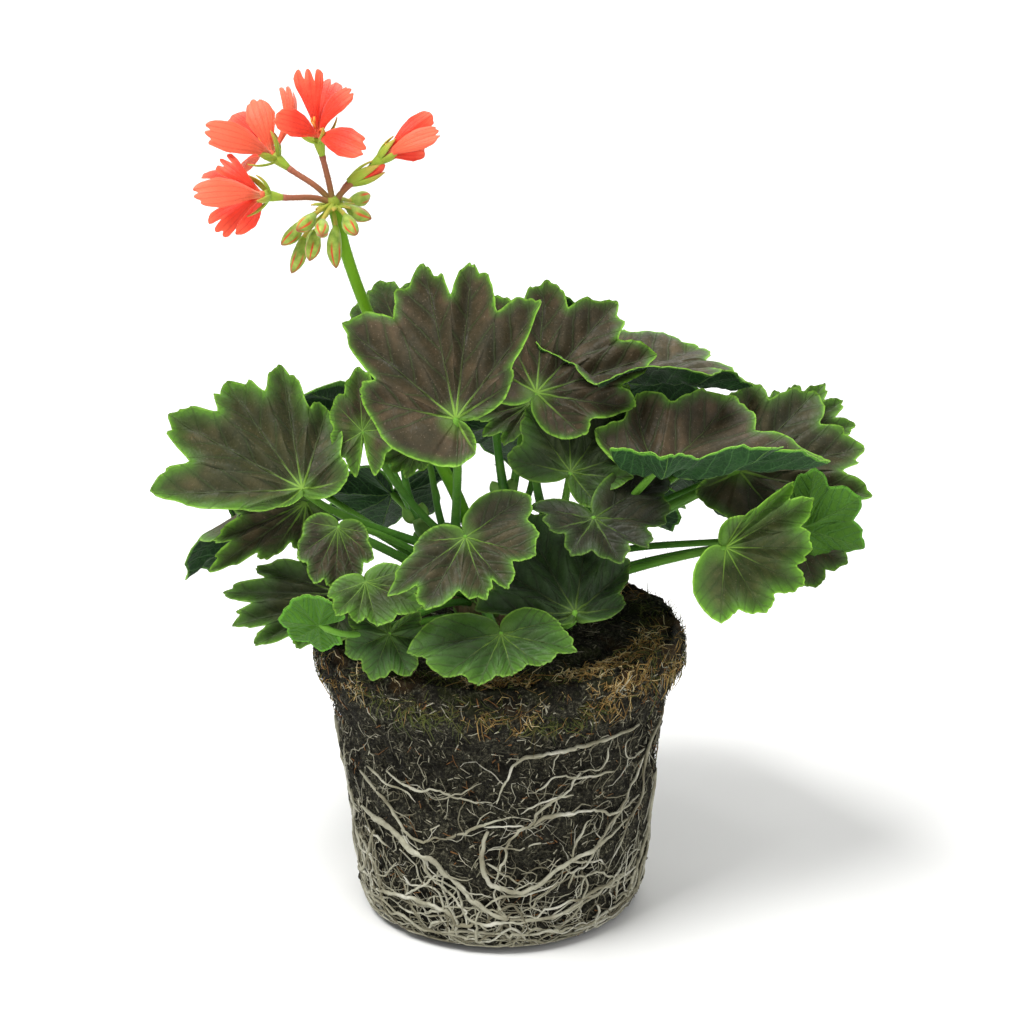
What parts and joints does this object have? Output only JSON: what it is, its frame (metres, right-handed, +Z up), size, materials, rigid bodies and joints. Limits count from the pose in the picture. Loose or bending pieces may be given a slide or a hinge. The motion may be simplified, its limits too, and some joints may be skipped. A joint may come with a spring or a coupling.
{
  "type": "zonal geranium plant with root ball",
  "caption": "Bushy zonal geranium lifted from its pot: scalloped bronze leaves with bright green margins, one coral star-flowered umbel, and a root ball that keeps the shape of the pot.",
  "frame": {"origin": "centre of the flat base of the root ball", "axes": "+Z up the plant, -Y towards the viewer of the picture, +X to the viewer's right; the umbel leans to -X"},
  "size_m": [0.2166, 0.1634, 0.2695],
  "materials": {
    "soil": "matt, fibrous",
    "root": "matt",
    "moss": "matt, fibrous",
    "stem": "satin",
    "stalk": "satin",
    "leaf": "satin, finely hairy",
    "petal": "matt, silky"
  },
  "bodies": {
    "root": {"stems": "stem", "root_ball": "soil", "root_net": "root", "moss": "moss", "flower_stalk": "stalk", "flower_left": "petal", "flower_back": "petal", "flower_top": "petal", "flower_right": "petal", "big_bud": "petal", "leaf_01": "leaf", "leaf_02": "leaf", "leaf_03": "leaf", "leaf_04": "leaf", "leaf_05": "leaf", "leaf_06": "leaf", "leaf_07": "leaf", "leaf_08": "leaf", "leaf_09": "leaf", "leaf_10": "leaf", "leaf_11": "leaf", "leaf_12": "leaf", "leaf_13": "leaf", "leaf_14": "leaf", "leaf_15": "leaf", "leaf_16": "leaf", "leaf_17": "leaf", "leaf_18": "leaf", "leaf_19": "leaf", "leaf_20": "leaf", "leaf_21": "leaf", "leaf_22": "leaf", "leaf_23": "leaf", "leaf_24": "leaf", "leaf_25": "leaf", "leaf_26": "leaf", "leaf_27": "leaf", "leaf_28": "leaf", "leaf_29": "leaf", "leaf_30": "leaf", "leaf_31": "leaf", "leaf_32": "leaf", "leaf_33": "leaf", "leaf_34": "leaf", "leaf_35": "leaf"}
  },
  "joints": []
}
